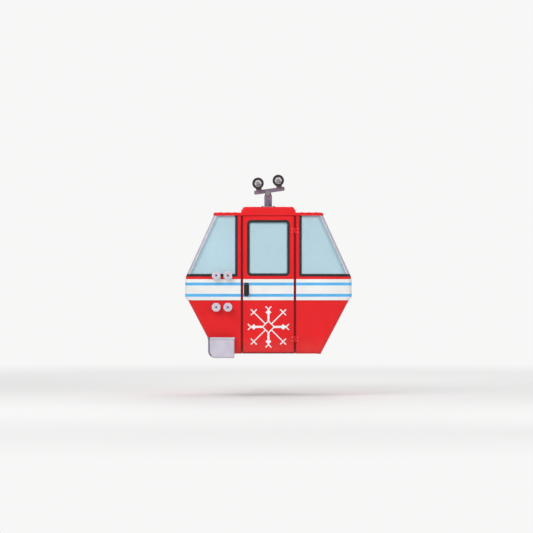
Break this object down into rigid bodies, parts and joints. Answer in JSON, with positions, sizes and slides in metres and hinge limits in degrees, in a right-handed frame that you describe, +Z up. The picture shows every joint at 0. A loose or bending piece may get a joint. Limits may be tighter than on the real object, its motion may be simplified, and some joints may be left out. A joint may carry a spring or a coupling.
{
  "type": "ski gondola cabin",
  "caption": "Ski gondola cabin of hexagonal side profile, hung by a short post from a two-sheave rope carriage, with a hinged door, glazed ends, benches and an outside ski rack.",
  "frame": {"origin": "on the rope's centre line, midway between the two sheaves", "axes": "+Z up, +X the uphill direction of travel, -Y the door side; the rope rises 8 degrees towards +X at rest"},
  "size_m": [2.334, 1.886, 2.5889],
  "materials": {
    "body_red": "gloss red gel coat on moulded glass-fibre panels",
    "band_white": "gloss white with two sky-blue stripes",
    "seal_black": "matt black rubber",
    "window_blue": "pale blue tinted polycarbonate",
    "post_grey": "satin anodised aluminium",
    "carriage_grey": "satin grey paint",
    "steel": "machined steel",
    "hub_grey": "cast and turned aluminium",
    "tyre_black": "worn black rubber liner",
    "handle_black": "black moulded plastic",
    "flake_white": "white cut vinyl plate",
    "bench_grey": "moulded grey plastic",
    "floor_grey": "plywood under ribbed rubber",
    "pocket_grey": "light grey moulded plastic",
    "button_grey": "dark grey painted bolt head"
  },
  "bodies": {
    "carriage": {"carriage_beam": "carriage_grey", "pivot_pin": "steel", "sheave_axles": "steel"},
    "sheave_left": {"sheave_hub_left": "hub_grey", "sheave_tyre_left": "tyre_black"},
    "sheave_right": {"sheave_hub_right": "hub_grey", "sheave_tyre_right": "tyre_black"},
    "cabin": {"back_panel": "body_red", "back_window_frame": "body_red", "band_back": "band_white", "band_left": "band_white", "band_right": "band_white", "bench_left": "bench_grey", "bench_right": "bench_grey", "clip_buttons": "button_grey", "corner_posts_left": "post_grey", "corner_posts_right": "post_grey", "door_frame": "body_red", "floor": "floor_grey", "glass_back": "window_blue", "glass_back_left": "window_blue", "glass_back_right": "window_blue", "glass_end_left": "window_blue", "glass_end_right": "window_blue", "glass_front_left": "window_blue", "glass_front_right": "window_blue", "hanger": "carriage_grey", "hinge_butts": "body_red", "roof": "body_red", "seal_back": "seal_black", "seals_left": "seal_black", "seals_right": "seal_black", "shell_left": "body_red", "shell_right": "body_red", "ski_clips": "pocket_grey", "ski_pocket": "pocket_grey"},
    "door": {"door_leaf": "body_red", "band_door": "band_white", "door_snowflake": "flake_white", "door_handle": "handle_black", "hinge_straps": "body_red", "seal_door": "seal_black", "glass_door": "window_blue"}
  },
  "joints": [
    {"name": "cabin_swing", "type": "hinge", "parent": "carriage", "child": "cabin", "pos_m": [-0.01139, 0, -0.08138], "axis": [0, 1, 0], "range_deg": [-30, 14]},
    {"name": "door_swing", "type": "hinge", "parent": "cabin", "child": "door", "pos_m": [0.36281, -0.862, -1.45188], "axis": [0, 0, 1], "range_deg": [0, 100]},
    {"name": "sheave_left_spin", "type": "hinge", "parent": "carriage", "child": "sheave_left", "pos_m": [-0.15599, 0, 0.06088], "axis": [0, 1, 0], "continuous": true},
    {"name": "sheave_right_spin", "type": "hinge", "parent": "carriage", "child": "sheave_right", "pos_m": [0.13317, 0, 0.10152], "axis": [0, 1, 0], "continuous": true}
  ]
}
